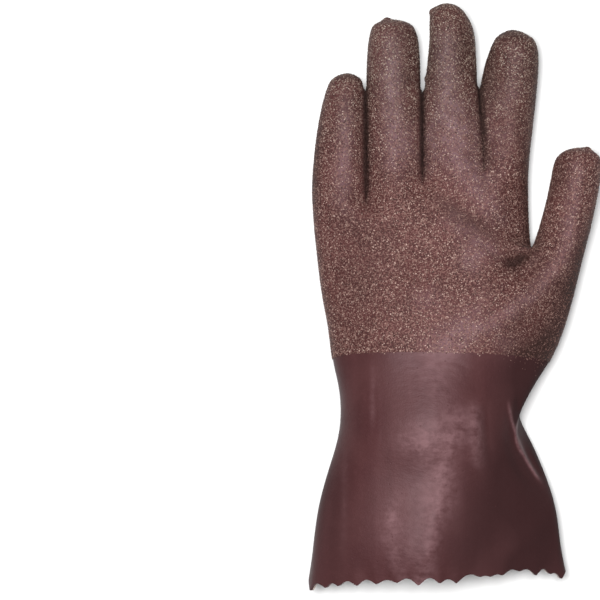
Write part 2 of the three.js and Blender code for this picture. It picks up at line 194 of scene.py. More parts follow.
class Cage:
    def __init__(self):
        self.points = []
        self.faces = []
        self.zones = []

    def point(self, x, y, z):
        self.points.append((x, y, z))
        return len(self.points) - 1

    def face(self, zone, *corners):
        self.faces.append(corners)
        self.zones.append(zone)

    def join(self, zone, near, far, left_out=()):
        for i in range(len(near)):
            j = (i + 1) % len(near)
            if i not in left_out:
                self.face(zone, near[i], near[j], far[j], far[i])

    def tube(self, zone, ring, rows, section):
        for row in rows[:-1]:
            following = [self.point(*place) for place in section(row)]
            self.join(zone, ring, following)
            ring = following
        tip = self.point(rows[-1].x, rows[-1].y, rows[-1].z)
        for i in range(0, len(ring), 2):
            self.face(zone, ring[i], ring[i + 1], ring[(i + 2) % len(ring)], tip)


# %% One point of the sleeve's outline, over or under
def outline_point(row, share, upper):
    middle = (row.left + row.side) / 2
    right = row.high if upper else row.low
    half = middle - row.left if share < 0 else right - middle
    level = row.top * SIDE_HEIGHT
    x = middle + share * half
    y = row.y_left + (row.y_right - row.y_left) * (x - row.left) / (row.side - row.left)
    if upper:
        power = row.left_power if share < 0 else row.right_power
        crown = (1 - abs(share) ** power) ** (1 / power)
        return x, y + row.set_back * crown, level + (row.top - level) * crown
    beyond = max(0.0, (abs(share) - FLAT_FOOT) / (1 - FLAT_FOOT))
    return x, y, level * (1 - (1 - beyond**FOOT_POWER) ** (1 / FOOT_POWER))


# %% A sleeve ring runs over the top and back underneath
def sleeve_ring(cage, row):
    level = row.top * SIDE_HEIGHT
    over = [cage.point(*outline_point(row, share, True)) for share in LINES]
    right = cage.point(row.side, row.y_right, level)
    under = [cage.point(*outline_point(row, share, False)) for share in LINES]
    left = cage.point(row.left, row.y_left, level)
    loop = [*over, right, *reversed(under), left]
    return SimpleNamespace(over=over, right=right, under=under, loop=loop)


# %% The knuckle ring follows the webs
def knuckle_ring(cage):
    over, middles, under = [], [], []
    for i, web in enumerate(WEBS):
        outer = i in (0, len(WEBS) - 1)
        x = web.x + (math.copysign(EDGE_INSET, -web.x) if outer else 0)
        y = web.y - (0 if outer else WEB_FOLD)
        over.append(cage.point(x, y, web.top))
        middles.append(cage.point(web.x, web.y, WEB_MIDDLE))
        under.append(cage.point(x, y, web.foot))
        if web is WEBS[-1]:
            break
        x = (web.x + WEBS[i + 1].x) / 2
        y = (web.y + WEBS[i + 1].y) / 2
        over.append(cage.point(x, y, KNUCKLE_TOPS[i]))
        under.append(cage.point(x, y, KNUCKLE_FOOT))
    loop = [*over, middles[-1], *reversed(under), middles[0]]
    return SimpleNamespace(over=over, middles=middles, under=under, loop=loop)


# %% A finger is a tube between two webs, closed at its tip
def finger_section(row):
    for side in FINGER_SIDES:
        turn = math.radians(side)
        yield row.x + row.wide * math.cos(turn), row.y, row.z + row.deep * math.sin(turn)


def add_finger(cage, rows, k, knuckles):
    over, middles, under = knuckles.over, knuckles.middles, knuckles.under
    a, b, c = 2 * k, 2 * k + 1, 2 * k + 2
    ring = [over[a], over[b], over[c], middles[k + 1], under[c], under[b], under[a], middles[k]]
    cage.tube(HAND, ring, rows, finger_section)


# %% The thumb grows out of a window two faces long and four faces high
def thumb_section(row):
    lean = math.radians(row.lean)
    for i in range(THUMB_SIDES):
        turn = -i * math.tau / THUMB_SIDES
        out = row.wide * math.cos(turn)
        x, y = row.x + out * math.cos(lean), row.y - out * math.sin(lean)
        yield x, y, row.z + row.deep * math.sin(turn)


def add_thumb(cage, rings):
    near, middle, far = rings[THUMB_NEAR:THUMB_NEAR + 3]
    outer, inner = LAST, LAST - 1
    ring = [
        near.right, near.under[outer], near.under[inner], middle.under[inner],
        far.under[inner], far.under[outer], far.right, far.over[outer],
        far.over[inner], middle.over[inner], near.over[inner], near.over[outer],
    ]
    cage.tube(HAND, ring, THUMB, thumb_section)


# %% The whole cage
def glove_cage():
    cage = Cage()
    rings = [sleeve_ring(cage, row) for row in SLEEVE]
    knuckles = knuckle_ring(cage)
    loops = [ring.loop for ring in rings] + [knuckles.loop]
    window = range(LAST - 1, LAST + 3)
    for i, (near, far) in enumerate(zip(loops, loops[1:])):
        left_out = window if i in (THUMB_NEAR, THUMB_NEAR + 1) else ()
        cage.join(CUFF if i < COAT_LINE else HAND, near, far, left_out)
    for k, rows in enumerate([LITTLE, RING, MIDDLE, INDEX]):
        add_finger(cage, rows, k, knuckles)
    add_thumb(cage, rings)
    return cage


cage = glove_cage()
print("cage:", len(cage.points), "points,", len(cage.faces), "faces")

# %% [markdown]
# ## Through the measured points
# A subdivision surface cuts every corner of its cage, so a cage at the measured sections gives a
# thin glove. At each cage point the smooth surface passes at a fixed mix of that point and its
# neighbours, so a few rounds of "add what is missing" pull the cage out until the two agree.


# %% How much each cage point pulls on the smooth surface
def limit_weights(cage):
    count = len(cage.points)
    uses = [{} for _ in range(count)]
    across = [[] for _ in range(count)]
    for corners in cage.faces:
        for i, v in enumerate(corners):
            for other in (corners[i - 1], corners[(i + 1) % 4]):
                uses[v][other] = uses[v].get(other, 0) + 1
            across[v].append(corners[(i + 2) % 4])
    weights = np.eye(count)
    for v in range(count):
        n = len(uses[v])
        rim = [other for other, times in uses[v].items() if times == 1]
        if rim:
            weights[v, v] = 4 / 6
            weights[v, rim] = 1 / 6
        elif n:
            weights[v, v] = n / (n + 5)
            weights[v, list(uses[v])] = 4 / (n * (n + 5))
            np.add.at(weights[v], across[v], 1 / (n * (n + 5)))
    return weights


# %% Pull the cage outwards
FIT_ROUNDS = 8
weights = limit_weights(cage)
wanted = np.array(cage.points, float)
pulled = wanted.copy()
for _ in range(FIT_ROUNDS):
    pulled += wanted - weights @ pulled
print("largest miss, mm:", round(float(np.abs(weights @ pulled - wanted).max()), 3))


# %% A skin of four-cornered faces, with its points in millimetres
def corners_and_squares(points, faces):
    a, b, c, d = (points[faces[:, k]] for k in range(4))
    return a, b, c, d, np.cross(c - a, d - b) / 2


class Skin:
    def __init__(self, points, faces, zones):
        self.points = points
        self.faces = faces
        self.zones = zones

    def normals(self):
        *_, flat = corners_and_squares(self.points, self.faces)
        flat /= np.linalg.norm(flat, axis=1, keepdims=True)
        corners = self.faces.ravel()
        spread = np.repeat(flat, 4, axis=0)
        total = [np.bincount(corners, spread[:, k], len(self.points)) for k in range(3)]
        total = np.stack(total, 1)
        return total / np.maximum(np.linalg.norm(total, axis=1, keepdims=True), 1e-9)


# %% Blender's subdivision surface rounds the cage
def values_of(items, name, kind=np.int32, width=1):
    values = np.empty(width * len(items), kind)
    items.foreach_get(name, values)
    return values


def rounded(cage, points, levels):
    mesh = bpy.data.meshes.new("cage")
    mesh.from_pydata(points * MM, [], cage.faces)
    mesh.polygons.foreach_set("material_index", cage.zones)
    holder = placed("cage", mesh)
    smooth = holder.modifiers.new("smooth", "SUBSURF")
    smooth.levels = levels
    smooth.boundary_smooth = "ALL"
    fine = holder.evaluated_get(bpy.context.evaluated_depsgraph_get()).to_mesh()
    places = values_of(fine.vertices, "co", np.float32, 3).reshape(-1, 3).astype(float) / MM
    faces = values_of(fine.loops, "vertex_index").reshape(-1, 4)
    zones = values_of(fine.polygons, "material_index")
    bpy.data.objects.remove(holder)
    return Skin(places, faces, zones)


FINE, COARSE, SOLID = 4, 3, 1  # rounds of subdivision: outer skin, inner skin, solid model
skin = rounded(cage, pulled, FINE)
inner_skin = rounded(cage, pulled, COARSE)
print("fine skin:", len(skin.faces), "faces; coarse skin:", len(inner_skin.faces), "faces")

# %% [markdown]
# ## Fingers that touch
# The fingers lie close together, and from above only a dark slit parts them. The tables leave 1.5
# mm between two fingers, as a solid model needs. Here the sides of the outer skin are pressed
# together up to where the fingers part, so that no floor shows.

# %% Slits: from the web to where the fingers part
SLITS = table(
    "name x0 y0 x1 y1",
    ("little and ring", -44.9, 47, -45.8, 107.5),
    ("ring and middle", -16.3, 57, -16.7, 107),
    ("middle and index", 15, 62, 12.7, 108.5),
)
SLIT_GAP = 0.3
SLIT_ROOM = 1.25  # how far a finger's side is moved at most
SLIT_REACH = 3.0
SLIT_FADES = 5.0
SLIT_OPENS = 2.5


def close_slits(skin):
    x, y, _ = skin.points.T
    for slit in SLITS:
        middle = slit.x0 + (slit.x1 - slit.x0) * (y - slit.y0) / (slit.y1 - slit.y0)
        away = x - middle
        room = np.abs(away) - SLIT_GAP / 2
        beyond = np.maximum(room - SLIT_ROOM, 0)
        close = np.exp(-((beyond / SLIT_REACH) ** 2)) * (room > 0)
        ramp = np.clip((y - slit.y0) / SLIT_FADES, 0, 1) * np.clip((slit.y1 - y) / SLIT_OPENS, 0, 1)
        x -= np.sign(away) * ramp * close * np.minimum(room, SLIT_ROOM)


close_slits(skin)
print("slits closed:", len(SLITS))

# %% [markdown]
# ## Dents, ridges and creases
# Thick rubber doesn't drape, and keeps a few broad, soft folds. A cloth simulation finds folds of
# its own, not the ones that this glove has, so they are listed and pressed in: hills, hollows and
# long folds on both skins, then narrow creases on the outer one alone. All fade where the surface
# turns away from above, and nothing sinks below the floor.

# %% Wide hills and hollows: place, length, width, turn and rise
HILLS = table(
    "name x y along across turn rise",
    ("hollow of the palm", -16, 16, 24, 15, 10, -2),
    ("left side of the palm", -56, 8, 50, 15, 6, -2),
    ("pit beside the thumb", 29, 17, 8.5, 6, -70, -5),
    ("below the index finger", 33, 44, 24, 10, 8, -3.5),
    ("under the thumb's ball", 54, -6, 22, 9, -38, -3),
    ("middle of the heel", 2, -20, 14, 14, 0, 1.4),
    ("heel of the hand", -38, -14, 24, 14, 8, 1.2),
    ("upper bulge", -11, -62, 24, 16, 0, 1.6),
    ("lower bulge", -23, -136, 32, 16, -12, 3.6),
    ("cuff's right side", 30, -112, 40, 18, 14, -3),
    ("right of the wrist", 26, -48, 22, 14, 0, -2),
)


def hill_strength(hill, x, y):
    turn = math.radians(hill.turn)
    along = ((y - hill.y) * math.cos(turn) - (x - hill.x) * math.sin(turn)) / hill.along
    across = ((x - hill.x) * math.cos(turn) + (y - hill.y) * math.sin(turn)) / hill.across
    return np.exp(-(along**2) - across**2)


def press(skin, forms, strength_of):
    x, y, z = skin.points.T
    facing = np.maximum(0, skin.normals()[:, 2])
    for form in forms:
        z += form.rise * facing * strength_of(form, x, y)
    np.maximum(z, 0, out=z)


for each in (skin, inner_skin):
    press(each, HILLS, hill_strength)
print("hills pressed in:", len(HILLS))

# %% Long folds: both ends, bow, width and rise
LINE_COLUMNS = "name x0 y0 x1 y1 bow width rise"
LINE_END_POWER = 5  # how suddenly a line fades at its ends
FOLDS = table(
    LINE_COLUMNS,
    ("little finger's crest", -54, 106, -55, 60, 0, 6, 0.8),
    ("middle finger's crest", -6.5, 136, -5, 84, 0, 6, 1),
    ("right of it", 6, 132, 8.5, 84, 0, 5, -0.4),
    ("index finger's crest", 33, 128, 31, 78, 0, 6, 0.9),
    ("left of it", 20, 126, 20, 78, 0, 5, -1.8),
    ("thumb's crest", 64, 66, 61, 30, 0, 5, 1.5),
    ("crest of the thumb's ball", 60, 30, 12, -15, 6.7, 5.5, 2.8),
    ("below the middle finger", -3, 74, 21, 39, 0, 7, 1.8),
    ("groove across the palm", -9, 47, 30, 19, -1, 5.4, -2.6),
    ("band below the groove", -16, 52, 16, 22, 0, 6, 1),
    ("fold from the pit", 24.5, 16, 36.2, 21.4, -1, 1.8, -2.4),
    ("edge of the thumb's ball", 28.5, 11.3, 41.8, 25.6, -1.6, 1.8, 1.9),
    ("ridge on the wrist", 8, -54, 10.8, -84, -0.5, 3.8, 1.3),
    ("shadow beside the ridge", 14.2, -54, 17, -84, -0.5, 2.4, -0.7),
    ("wrist's first crest", 26.2, -54, 30.6, -70, -0.4, 1.2, 0.9),
    ("hollow between the crests", 30.6, -52, 32.4, -66, 0.4, 1.6, -1.6),
    ("second crest, above", 33.2, -59, 32.8, -79, -2.4, 1.1, 1.6),
    ("second crest, below", 31.4, -72, 43.4, -94, -1, 1.2, 2.2),
    ("trough before the crest", 28, -58, 38.5, -96, -5, 3, -1.2),
    ("wall behind the crest", 36, -65, 46, -93, -4.2, 3, -3),
    ("edge of the lower bulge", -7, -92, -18, -142, 0, 4.5, 1),
    ("towards the hem's corner", 54, -109, 24, -131, 0, 6, 1),
)


def line_strength(line, x, y, least_width=0.0):
    reach = math.hypot(line.x1 - line.x0, line.y1 - line.y0)
    dx, dy = (line.x1 - line.x0) / reach, (line.y1 - line.y0) / reach
    share = ((x - line.x0) * dx + (y - line.y0) * dy) / reach
    bow = line.bow * 4 * share * (1 - share)
    side = ((y - line.y0) * dx - (x - line.x0) * dy - bow) / max(line.width, least_width)
    return np.exp(-np.abs(2 * share - 1) ** LINE_END_POWER - side**2)


# The coarse inner skin would stand through a narrow fold of the outer one. So it takes every groove
# at no less than a least width, and leaves the narrow ridges out.
INNER_WIDTH = 4.0


def wide_line_strength(line, x, y):
    return line_strength(line, x, y, INNER_WIDTH)


inner_folds = [fold for fold in FOLDS if fold.rise < 0 or fold.width > INNER_WIDTH]
press(skin, FOLDS, line_strength)
press(inner_skin, inner_folds, wide_line_strength)
print("folds pressed in:", len(FOLDS), "and on the inner skin:", len(inner_folds))

# %% Narrow creases, on the outer skin alone
CREASES = table(
    LINE_COLUMNS,
    ("seam line at the left", -41.5, -29, -40.5, -80, 0.5, 1.4, 0.1),
    ("dent below the coat", -11, -33, 5, -36, 2, 0.8, -0.35),
    ("first line out of the pit", 31, 19, 14, 26, 1.5, 1.4, -0.8),
    ("second line out of the pit", 29, 13, 10, 11, -1.2, 1.3, -0.6),
    ("third line out of the pit", 31, 8, 17, -6, -2, 1.4, -0.6),
    ("upper line of the palm", -46, 34, -4, 30, 4, 2, -0.4),
    ("lower line of the palm", -50, 14, -12, 4, 3, 2, -0.35),
    ("joint of the thumb", 49, 45, 68, 41, 2, 1.5, -0.5),
)
press(skin, CREASES, line_strength)
print("creases pressed in:", len(CREASES))

# %% [markdown]
# ## The scalloped hem
# Scalloped shears cut rubber and lining at once, and no two points of the hem are alike. Cutting
# the mesh with a row of cylinders would leave slivers. The fine skin has a point every three
# quarters of a millimetre there, so the rows near the edge just give way smoothly, and each notch
# is one arc between two points of the hem.

# %% Points of the upper lip, each with the depth of the notch after it
HEM_POINTS = table(
    "x y deep",
    (-74.3, -150.1, 3),
    (-66.3, -148, 2),
    (-60, -146.7, 2.5),
    (-50.7, -146.1, 2.7),
    (-40.8, -145, 1.9),
    (-30.5, -144, 3),
    (-19.8, -145.2, 3.4),
    (-9, -144.3, 2.2),
    (-0.6, -144.3, 2.8),
    (11.5, -141.4, 0.6),
    (17, -141.5, 0.9),
    (23.3, -141, 1.9),
    (32, -139.2, 2),
    (40.8, -141.6, 3),
    (48.4, -141.4, 1.6),
    (54.5, -144.1, 2.6),
)
# The lower lip lies hidden, so it has an even row of notches that vary a little.
LOWER_PITCH = 9.2
LOWER_DEEP = 2.7
LOWER_VARIES = 0.2
PITCH_TURN, DEPTH_TURN = 2.4, 1.7  # angles from notch to notch, for the two variations
LOWER_BACK = 2.2  # how far the lower lip lies back
HEM_REACH = 16  # how far up the cuff the skin gives way to the cut
NOTCH_POWER = 1.25  # 1 gives sharp points, 2 gives a wave


# %% Edges that only one face uses, and the loop they make
def rim_edges(faces):
    starts = faces.astype(np.int64).ravel()
    ends = np.roll(faces.astype(np.int64), -1, axis=1).ravel()
    size = starts.max() + 1
    lone = ~np.isin(starts * size + ends, ends * size + starts)
    return np.stack([starts[lone], ends[lone]], 1)


def rim_loop(faces, first):
    following = dict(rim_edges(faces).tolist())
    loop = [first]
    while following[loop[-1]] != first:
        loop.append(following[loop[-1]])
    return np.array(loop)


# %% The hem before the cut, and how far round it a point lies
class Hem:
    def __init__(self, skin):
        rim = np.unique(rim_edges(skin.faces))
        self.points = skin.points[rim_loop(skin.faces, int(rim[skin.points[rim, 0].argmin()]))]
        steps = np.roll(self.points, -1, axis=0) - self.points
        arc = np.cumsum(np.linalg.norm(steps, axis=1))
        self.length = arc[-1]
        self.arc = np.concatenate([[0], arc[:-1]])
        self.middle = (self.points.min(axis=0) + self.points.max(axis=0)) / 2

    def turn(self, points):
        return np.arctan2(points[:, 2] - self.middle[2], self.middle[0] - points[:, 0])

    def around(self, points):
        own = np.unwrap(self.turn(self.points))
        turn = own[0] + (self.turn(points) - own[0]) % math.tau
        closed = np.append(own, own[0] + math.tau), np.append(self.arc, self.length)
        return np.interp(turn, *closed) % self.length

    def height(self, around):
        return np.interp(around, self.arc, self.points[:, 1], period=self.length)


# %% Where each notch begins, how far along the glove, and how deep it goes
def notches(hem):
    x = hem.points[:, 0]
    over = slice(0, int(x.argmax()) + 1)
    tips = [float(np.interp(point.x, x[over], hem.arc[over])) for point in HEM_POINTS]
    heights = [point.y for point in HEM_POINTS]
    deep = [point.deep for point in HEM_POINTS]
    corner, room = tips[-1], hem.length + tips[0] - tips[-1]
    count = round(room / LOWER_PITCH)
    for i in range(1, count):
        tips.append(corner + room * (i + LOWER_VARIES * math.sin(PITCH_TURN * i)) / count)
        heights.append(float(hem.height(tips[-1])) + LOWER_BACK)
        deep.append(LOWER_DEEP * (1 + LOWER_VARIES * math.sin(DEPTH_TURN * i)))
    return np.array([*tips, hem.length + tips[0]]), np.array([*heights, heights[0]]), np.array(deep)


# %% Cut the hem
def cut_hem(skin, hem):
    tips, heights, deep = notches(hem)
    y = skin.points[:, 1]
    near = np.flatnonzero(y < hem.points[:, 1].max() + HEM_REACH)
    place = hem.around(skin.points[near])
    own = hem.height(place)
    place = np.where(place < tips[0], place + hem.length, place)
    k = np.clip(np.searchsorted(tips, place, side="right") - 1, 0, len(deep) - 1)
    share = np.clip((place - tips[k]) / (tips[k + 1] - tips[k]), 0, 1)
    line = heights[k] + share * (heights[k + 1] - heights[k])
    target = line + deep[k] * np.sin(math.pi * share) ** NOTCH_POWER
    y[near] += (target - own) * np.clip(1 - (y[near] - own) / HEM_REACH, 0, 1)
    return len(deep)


hem = Hem(skin)
print("notches in the hem:", cut_hem(skin, hem))

# %% [markdown]
# ## Bloom, grime, painted highlight and painted shade
# A pale film blooms on the ridges of old rubber, and grime stays in its hollows. The same values
# also paint highlights on ridges, crests and bulges, and paint shade in hollows, in slits and on
# slopes turned from the lamp. A painted texture could hold all of this, but needs an unwrapped
# glove. A value at each point of the skin does as well: the sum of a few wide marks and lines.

# %% Wide marks and lines
MARK_COLUMNS = "name x y along across turn strength"
MARK_LINE_COLUMNS = "name x0 y0 x1 y1 bow width strength"
# Bloom and painted highlight: partly a pale film, partly painted highlights on the bulges, the
# fingers' crowns, the thumb's ball and the wrist's crests.
BLOOM_AND_HIGHLIGHTS = table(
    MARK_COLUMNS,
    ("upper bulge", -13, -72, 10, 13, 0, 1),
    ("left of the upper bulge", -25, -73, 5, 6, 0, 0.35),
    ("right of the upper bulge", 1, -63, 9, 5, 0, 0.5),
    ("below the upper bulge", -4, -62, 9, 5, 0, 0.35),
    ("below the coat", -12, -40, 13, 8, 0, 0.55),
    ("heel, thumb's side", 25, -23, 8, 8, 0, 0.3),
    ("between the bulges", -8, -86, 12, 8, 0, 0.7),
    ("lower bulge's top", -14, -102, 12, 9, 0, 0.5),
    ("right of that top", -3, -103, 9, 4, 0, 0.35),
    ("lower bulge's left patch", -33.5, -113, 12, 5.5, -8, 0.55),
    ("lower bulge's middle", -24, -126, 15, 10, -14, 0.35),
    ("lower bulge's foot", -18, -145, 5, 6, 0, 0.6),
    ("second crest's end", 46, -97, 9, 5, 0, 0.35),
    ("heel of the hand", -2, -21, 9, 15, 24, 0.8),
    ("above the heel", 8, -8, 6, 12, 50, 0.35),
    ("left of the heel", -15, -2, 7, 9, 0, 0.4),
    ("middle of the palm", 8, 19, 8, 7, 0, 0.7),
    ("below the middle finger", 12, 57, 7, 7, 0, 0.4),
    ("middle finger's root", 2, 67, 8, 12, 0, 0.4),
    ("middle finger's foot", 2, 85, 14, 10, 10, 0.8),
    ("left of that foot", -12, 79, 13, 5, 0, 0.7),
    ("ring finger's foot", -24, 78, 12, 5, 0, 0.5),
    ("index finger's foot", 23, 79, 12, 8, 0, 0.4),
    ("index finger's middle", 25, 99, 9, 5, 0, 0.35),
    ("little finger's shoulder", -58, 60, 16, 6, 0, 0.3),
)
BLOOM_AND_HIGHLIGHT_LINES = table(
    MARK_LINE_COLUMNS,
    ("little finger", -55.5, 104, -57, 48, 0, 4, 0.6),
    ("ring finger", -33, 132, -32, 62, 0, 5.5, 0.95),
    ("middle finger", -6, 136, -3, 84, 0, 5.5, 0.85),
    ("index finger", 31, 128, 30, 100, 0, 4.5, 0.35),
    ("thumb", 62.5, 70, 56, 26, 0, 4, 0.6),
    ("ridge below the middle finger", -4, 82, 23, 36, 0, 6, 0.65),
    ("band below the groove", -6, 42, 22, 20, 0, 5, 0.6),
    ("crest of the thumb's ball", 60, 31, 8, -18, 6.7, 4, 0.7),
    ("lower bulge's right edge", -8, -90, -18, -152, 0, 4.5, 0.65),
    ("lower bulge's left edge", -29, -99, -25, -146, -6, 3.5, 0.3),
    ("short streak on the left", -42.4, -33, -42.8, -66, 0, 1.4, 0.35),
    ("long streak on the left", -56.5, -76, -57.5, -128, 0, 1.6, 0.2),
    ("ridge on the wrist", 8.6, -54, 11, -86, -0.5, 3.2, 0.9),
    ("wrist's first crest", 26.2, -54, 30.6, -70, -0.4, 0.7, 1.2),
    ("second crest, above", 33.2, -60, 32.8, -79, -2.4, 0.7, 1.6),
    ("second crest, below", 31.4, -72, 43.4, -94, -1, 0.9, 1.6),
)
# Grime and painted shade: painted shade on the flanks and slopes turned from the lamp, such as the
# cuff's right side and the fingers' sides, and grime with painted shade in the groove, pit and
# slits.
GRIME_AND_SHADE = table(
    MARK_COLUMNS,
    ("little finger's outside", -73, 70, 50, 4, -4, 0.8),
    ("little finger's tip", -54, 114, 4, 7, 0, 0.4),
    ("ring finger's right side", -25, 112, 8, 4, 0, 0.4),
    ("ring finger's tip", -24.5, 132, 8, 5, 0, 0.4),
    ("middle finger's right side", 12, 110, 6, 4, 0, 0.3),
    ("middle finger's tip", 4, 127, 12, 4, 0, 0.4),
    ("index finger's right side", 43, 100, 30, 4, -3, 0.8),
    ("index finger's tip", 26, 134, 5, 8, 0, 0.4),
    ("thumb's inside", 53, 62, 16, 4, -10, 0.4),
    ("thumb's outside", 71, 30, 27, 6, -15, 0.9),
    ("thumb's ball, foot", 53, 5, 7, 6, 0, 0.4),
    ("under the thumb's ball", 51, -17, 24, 11, -42, 0.75),
    ("pit beside the thumb", 30.5, 18, 7, 5, -65, 0.6),
    ("above the pit", 30, 28, 4, 6, 0, 0.4),
    ("right edge of the palm", 38.5, 46, 34, 5, 3, 0.9),
    ("left side of the palm", -52, 16, 46, 16, 0, 0.3),
    ("below the palm's middle", 18, 5, 7, 6, 0, 0.2),
    ("right of the heel", 32, -13, 8, 6, -30, 0.35),
    ("coat line, thumb's side", 46, -34, 12, 13, -40, 0.85),
    ("right of the wrist", 36, -48, 20, 9, 20, 1),
    ("wrist's right half", 22, -52, 22, 9, 0, 0.4),
    ("between the wrist's crests", 31.5, -58, 8, 2.4, -8, 1),
    ("behind the second crest", 41, -79, 16, 3.4, 24, 0.7),
    ("cuff's right side", 38, -108, 30, 18, 20, 1.25),
    ("right of the lower ridge", 24, -84, 16, 9, 8, 0.4),
    ("beside the lower bulge", 9, -120, 30, 14, -10, 0.8),
    ("cuff's left flank", -64, -96, 56, 9, 5, 0.4),
    ("cuff's right corner", 46, -134, 14, 22, 0, 0.4),
    ("right of the hem's middle", 31, -139, 9, 10, 0, 0.7),
)
GRIME_AND_SHADE_LINES = table(
    MARK_LINE_COLUMNS,
    ("little and ring", -45.6, 112, -45.2, 50, 0, 3, 0.5),
    ("ring and middle", -16.8, 112, -16.4, 60, 0, 3, 0.4),
    ("middle and index", 12.8, 120, 16.5, 68, -1, 2.4, 0.8),
    ("groove across the palm", -13, 51, 24, 27, 0, 4.5, 0.55),
    ("index finger's left side", 18.5, 130, 18, 93, 0, 3.5, 0.55),
    ("index finger's middle", 32, 98, 31, 74, 0, 4, 0.3),
    ("thumb's root, outside", 67, 30, 57, -6, 0, 4, 0.8),
    # Rows with a negative strength take painted shade off the wrist's crests, so they read as
    # painted highlights.
    ("first crest, painted lighter", 26.2, -54, 30.6, -70, -0.4, 0.8, -0.9),
    ("second, above, painted lighter", 33.2, -60, 32.8, -79, -2.4, 0.8, -0.9),
    ("second, below, painted lighter", 31.4, -72, 43.4, -94, -1, 1, -0.9),
)
# Painted shade: a dark core along each slit between the fingers and in the pit beside the thumb.
DEEP_SHADE_LINES = table(
    MARK_LINE_COLUMNS,
    ("little and ring", -45.4, 111, -45.2, 51, 0, 1.3, 1.5),
    ("ring and middle", -16.7, 117, -16.5, 61, 0, 1.3, 1.5),
    ("middle and index", 12.8, 116, 15.6, 84, -1, 1.1, 1),
    ("pit", 25, 16.2, 36, 20.8, -0.9, 1.9, 0.7),
)


def marked(points, marks, strength_of):
    total = np.zeros(len(points))
    for mark in marks:
        total += mark.strength * strength_of(mark, points[:, 0], points[:, 1])
    return total


def bloom_and_highlight_at(points):
    wide = marked(points, BLOOM_AND_HIGHLIGHTS, hill_strength)
    return np.clip(wide + marked(points, BLOOM_AND_HIGHLIGHT_LINES, line_strength), 0, 1)


def grime_and_shade_at(points):
    wide = marked(points, GRIME_AND_SHADE, hill_strength)
    return np.clip(wide + marked(points, GRIME_AND_SHADE_LINES + DEEP_SHADE_LINES, line_strength), 0, 1)


# A mark fades where the skin turns downwards.
FADE_SLOPE, FADE_START = 3, 0.6
upwards = np.clip(skin.normals()[:, 2] * FADE_SLOPE + FADE_START, 0, 1)
marks = {"bloom": bloom_and_highlight_at(skin.points) * upwards, "grime": grime_and_shade_at(skin.points) * upwards}
print("marks of bloom:", len(BLOOM_AND_HIGHLIGHTS + BLOOM_AND_HIGHLIGHT_LINES), "and of grime:", len(GRIME_AND_SHADE + GRIME_AND_SHADE_LINES))

# %% [markdown]
# ## Walls
# The glove is hollow, and its mouth shows how thick it is. A Solidify modifier could give walls,
# but the hand's fine outer skin needs no equally fine one inside. So each wall is made from two
# skins, one under the other, and a rim between them. The coat stands a quarter of a millimetre
# proud of the cuff, which makes the crisp line across the wrist.

# %% Depths under the measured skin
COAT_RISE = 0.25
CRUMB_FOOT = 0.2  # the coat rests on its grains, so its skin stays this far above the floor
HAND_WALL = 1.8
LEAST_WALL = 1.0  # where the skin bends too sharply for the whole wall
CUFF_WALL = 1.3
LINING_TOP = 1.33
LINING_FOOT = 2.2
# The solid model's origin lies under its own middle, so the tables' points move by what is left
# between its box and the box of a skin as coarse as its own.
reached = rounded(cage, pulled, SOLID).points.max(axis=0)
CENTRED = (cad_box[1][0] / MM - reached[0], cad_box[1][1] / MM - reached[1], 0)
print("from the tables' origin to the model's, mm:", [round(float(side), 2) for side in CENTRED])


# %% A skin moved inwards, its rims kept square to the glove's length
def layer(skin, zone, depth, floor=0.0):
    direction = skin.normals()
    rim = np.unique(rim_edges(skin.faces[skin.zones == zone]))
    direction[rim, 1] = 0
    direction[rim] /= np.linalg.norm(direction[rim], axis=1, keepdims=True)
    points = skin.points - direction * depth
    points[:, 2] = np.maximum(points[:, 2], floor)
    return points + CENTRED


# %% A piece, from points and groups of faces that use some of them
SHARP = math.radians(50)


def piece(name, points, groups, slot, finish_numbers=None, **values):
    corners = np.concatenate([group.ravel() for group in groups])
    sizes = np.concatenate([np.full(len(group), group.shape[1]) for group in groups])
    used, corners = np.unique(corners, return_inverse=True)
    mesh = bpy.data.meshes.new(name)
    mesh.vertices.add(len(used))
    mesh.vertices.foreach_set("co", (points[used] * MM).astype(np.float32).ravel())
    mesh.loops.add(len(corners))
    mesh.loops.foreach_set("vertex_index", corners.astype(np.int32))
    mesh.polygons.add(len(sizes))
    mesh.polygons.foreach_set("loop_start", (np.cumsum(sizes) - sizes).astype(np.int32))
    if finish_numbers:
        numbers = np.repeat(finish_numbers, [len(group) for group in groups])
        mesh.polygons.foreach_set("material_index", numbers.astype(np.int32))
    mesh.update(calc_edges=True)
    mesh.set_sharp_from_angle(angle=SHARP)
    for value_name, value in values.items():
        stored = mesh.attributes.new(value_name, "FLOAT", "POINT")
        stored.data.foreach_set("value", value[used].astype(np.float32))
    made = placed(name, mesh)
    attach(made, "root")
    print(name + ":", int((sizes - 2).sum()), "triangles")
    return made


# %% A closed wall between two layers that share their faces
def wall(name, skin, zone, top, foot, slot):
    faces = skin.faces[skin.zones == zone]
    count = len(skin.points)
    starts, ends = rim_edges(faces).T
    rim = np.stack([ends, starts, starts + count, ends + count], 1)
    points = np.concatenate([layer(skin, zone, top), layer(skin, zone, foot)])
    values = {name: np.tile(value, 2) for name, value in marks.items()}
    return piece(name, points, [faces, faces[:, ::-1] + count, rim], slot, **values)


# %% The gauntlet's smooth cuff, and the cotton inside it
cuff = wall("smooth_cuff", skin, CUFF, 0, CUFF_WALL, "smooth_rubber")
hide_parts("gauntlet_cuff")
lining = wall("knitted_lining", skin, CUFF, LINING_TOP, LINING_FOOT, "cotton")
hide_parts("cotton_lining")

# %% [markdown]
# ## Small nubs
# Where a dipped glove drains, a drop of rubber sets: a nub at the tips of some fingers, and one
# between two of them. They are small raised spots on the outer skin.

